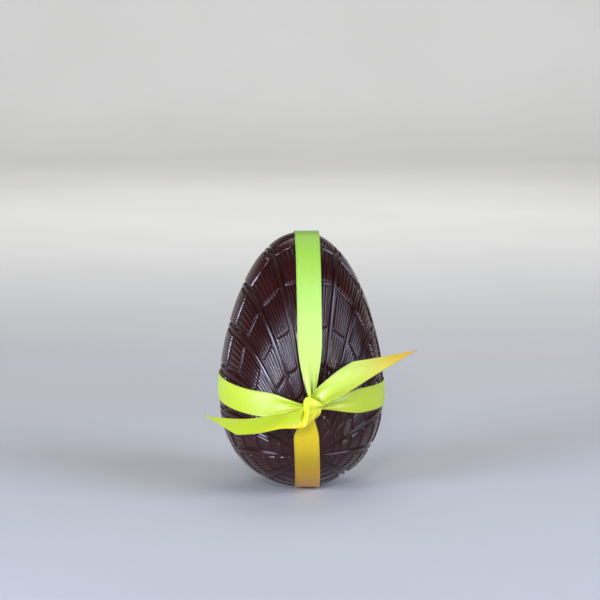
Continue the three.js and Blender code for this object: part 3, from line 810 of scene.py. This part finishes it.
def knot_and_left_tail():
    """One strap: tucked in at the knot's right end, over the knot's front, round its left side into
    a hollow, and out as the free left tail. A ruled sheet between its edges, with a bulge over the
    knot, a ridge across it where it turns, bowed to the right by 4 t (1 - t), and the hollow behind
    that ridge."""
    upper = [(14.6, -51, 56.3), (11.7, -54.5, 58.4), (8.4, -57, 60.5), (5, -57.5, 62.2),
             (2.6, -56.5, 62.3), (1.6, -54.5, 59.8), (1.3, -54, 56.3), (-6.2, -54, 53.4),
             (-14.6, -52.5, 51.4), (-31.5, -49.5, 48.6), (-48.7, -43.5, 48.5), (-55.2, -41, 49.7)]
    lower = [(14, -50.5, 55.9), (11.2, -52.5, 54.6), (9.8, -54.5, 53), (7.8, -56, 50.7),
             (5, -57, 48.3), (1.7, -58, 45.6), (-2.8, -60, 45.2), (-11.7, -62.3, 45.4),
             (-21.7, -62.3, 43.4), (-28.5, -61, 42.2), (-33, -60, 41.8), (-36.4, -59, 41.6)]
    station = np.linspace(0, 1, KNOT_ROWS)
    across = ribbon_columns(KNOT_COLUMNS)
    t = (across / RIBBON_WIDTH)[None, :]
    top = stations_curve(upper, station)
    bottom = stations_curve(lower, station)
    sheet = lerp(bottom[:, None, :], top[:, None, :], t[..., None])
    k = (station * (len(upper) - 1))[:, None]
    over_knot = smoothstep(k, 0.2, 1.6) * (1 - smoothstep(k, 4.4, 5.6))
    ridge_at = lerp(5.0, 4.1, t) - 0.65 * 4 * t * (1 - t)
    sheet[..., 1] -= 1.6 * np.sin(math.pi * t) * over_knot
    sheet[..., 1] -= 1.2 * bell(k, ridge_at, 0.5)
    sheet[..., 1] += 2.4 * bell(k, ridge_at + 1.1, 0.55) * smoothstep(t, 0.1, 0.6)
    sheet[..., 1] -= 0.5 * bell(t, 0.55 + 0.05 * k, 0.1) * over_knot
    sheet[..., 1] += 0.4 * bell(t, 0.33 + 0.03 * k, 0.09) * over_knot
    tail = smoothstep(k, 6, 7.5)
    sheet[..., 1] -= 0.9 * np.sin(math.pi * t) * tail
    sheet[..., 1] += 0.3 * np.sin(2.2 * k + 3 * t) * tail
    # Painted gold: warm bounce light along the strap's lower edge, and golden shade along its upper edge
    # near the knot's right end, in the hollow behind the ridge and over the knot
    bounce_gold_hem = 0.8 * bell(t, 0, 0.15) * smoothstep(k, 0.5, 1.2) * (1 - smoothstep(k, 7, 9))
    shade_gold_fold = 0.5 * bell(t, 1, 0.12) * (1 - smoothstep(k, 2.5, 3.5))
    painted_warm_light = 0.4 * over_knot + 0.7 * bell(k, ridge_at + 1.1, 0.5) + bounce_gold_hem + shade_gold_fold
    piece, length = ribbon_strip("satin_knot_and_left_tail", sheet, across, painted_warm_light)


def inner_turn():
    """The turn of ribbon behind the knot's front strap, round the gathered ends: a barrel on end,
    whose half width and half depth are a maximum times sqrt(1 - s^2) and a small end radius, with s
    from -1 at its foot to 1 at its head, bowed to the left by s^2 and puckered by cos(5 angle)."""
    x_middle, y_middle, z_middle = INNER_TURN
    turn_width, turn_depth, turn_height = INNER_TURN_HALVES
    angle = np.linspace(-math.pi, math.pi, INNER_TURN_ROWS)[:, None]
    across = ribbon_columns(KNOT_COLUMNS)
    s = (across / RIBBON_WIDTH * 2 - 1)[None, :]
    round_off = np.sqrt(np.maximum(0, 1 - s * s))
    wave = np.cos(5 * angle + 1.5 * s)
    pucker = 1 + 0.07 * wave * (0.4 + 0.6 * s * s)
    bow = INNER_TURN_BOW * s * s
    x = x_middle - bow + (turn_width * round_off + INNER_TURN_END) * pucker * np.sin(angle)
    y = y_middle - (turn_depth * round_off + INNER_TURN_END) * pucker * np.cos(angle)
    z = z_middle + turn_height * s + 0 * angle
    # Painted golden shade all over the turn behind the knot's front strap, varying with its pucker
    painted_warm_light = 0.7 + 0.25 * wave
    piece, length = ribbon_strip("satin_knot_inner_turn", np.stack([x, y, z], -1), across, painted_warm_light)


# ------------------------------------------------------------------ stage, lights and camera

# The floor's rim, in metres: where it begins to rise, where the rise would end, and how high it would
# be there. The mesh stops at 5.5.
FLOOR_FLAT = 3.2
FLOOR_RIM = 5.6
FLOOR_RISE = 3.2
FLOOR_SIDES = 96


def floor():
    """Pale round floor whose rim rises far away: height = rise * smoothstep(radius)."""
    n = Nodes("pale_floor")
    place = n.add("ShaderNodeTexCoord").outputs["Object"]
    mottle = n.noise(place, 3.0, 3.0)
    pale = n.ramp(mottle, (NOISE_LOW, (0.54, 0.535, 0.52)), (NOISE_HIGH, (0.57, 0.565, 0.55)))
    n.put(n.shader.inputs["Base Color"], pale)
    n.shader.inputs["Roughness"].default_value = 0.75
    radius = np.r_[0, np.linspace(0.4, FLOOR_FLAT, 8), np.linspace(3.4, 5.5, 24)]
    angle = np.linspace(0, 2 * math.pi, FLOOR_SIDES + 1)[:-1]
    height = FLOOR_RISE * smoothstep(radius, FLOOR_FLAT, FLOOR_RIM)
    r, a = np.meshgrid(radius, angle, indexing="ij")
    points = np.stack([r * np.cos(a), r * np.sin(a), np.repeat(height[:, None], len(angle), 1)], -1)
    quads = closed_quads(np.arange(points.shape[0] * len(angle)).reshape(points.shape[:2]))
    mesh = bpy.data.meshes.new("studio_floor")
    mesh.from_pydata(points.reshape(-1, 3).tolist(), [], quads.tolist())
    mesh.polygons.foreach_set("use_smooth", np.ones(len(mesh.polygons), bool))
    mesh.validate()
    mesh.materials.append(n.material)
    stage = bpy.data.objects.new("studio_floor", mesh)
    bpy.context.scene.collection.objects.link(stage)


def soft_box(name, direction, distance, size, power, colour, toward=None):
    """Area light at a distance from the egg's middle along a direction, turned towards the middle, or
    towards another place in metres."""
    target = Vector((0, 0, EGG_HEIGHT / 2 * MM))
    way = Vector(direction).normalized()
    place = target + way * distance
    aim = target if toward is None else Vector(toward)
    light = bpy.data.lights.new(name, "AREA")
    light.shape = "RECTANGLE"
    light.size, light.size_y = size
    light.energy = power
    light.color = colour
    lamp = bpy.data.objects.new(name, light)
    lamp.location = place
    lamp.rotation_euler = (aim - place).to_track_quat("-Z", "Y").to_euler()
    bpy.context.scene.collection.objects.link(lamp)


def studio():
    """Soft boxes: a small one in front and above, a broad cool one at the left, another a little
    higher at the right, a weak low one that fills in from the right, one overhead, and a wide one
    that lights the floor behind up to its far rim, in dim air."""
    soft_box("front_box", (-0.10, -0.88, 0.40), 1.5, (0.26, 0.26), 6, (1.0, 0.985, 0.97))
    soft_box("left_box", (-0.76, -0.64, 0.14), 1.1, (0.46, 0.45), 19, (0.66, 0.74, 1.0))
    soft_box("right_box", (0.85, -0.45, 0.42), 1.2, (0.70, 0.70), 14, (0.66, 0.74, 1.0))
    soft_box("low_fill", (0.80, -0.60, 0.08), 1.3, (0.4, 0.3), 2, (1.0, 0.97, 0.93))
    soft_box("top_box", (0.1, 0.3, 1.0), 1.8, (1.2, 1.2), 5, (0.96, 0.98, 1.0))
    soft_box("rim_wash", (0.0, 0.55, 0.8), 2.4, (2.4, 0.8), 80, (1.0, 1.0, 1.0), toward=(0, 3.4, 0.4))
    world = bpy.data.worlds.new("studio_air")
    world.use_nodes = True
    world.node_tree.nodes["Background"].inputs["Color"].default_value = (0.84, 0.85, 0.90, 1)
    world.node_tree.nodes["Background"].inputs["Strength"].default_value = 0.12
    bpy.context.scene.world = world


def camera():
    """Long lens in front of the egg and a little above it."""
    data = bpy.data.cameras.new("front_camera")
    data.lens = 123.26
    data.sensor_width = 36
    data.clip_start = 0.05
    data.clip_end = 50
    cam = bpy.data.objects.new("front_camera", data)
    cam.location = (-0.0002, -1.1867, 0.2630)
    cam.rotation_euler = (math.radians(82.64), 0, math.radians(0.0287))
    bpy.context.scene.collection.objects.link(cam)
    bpy.context.scene.camera = cam


camera()
studio()
floor()
chocolate_egg()
knot_and_left_tail()
inner_turn()
right_tail()
upright_band()
level_band()
bpy.context.scene.view_settings.view_transform = "Standard"
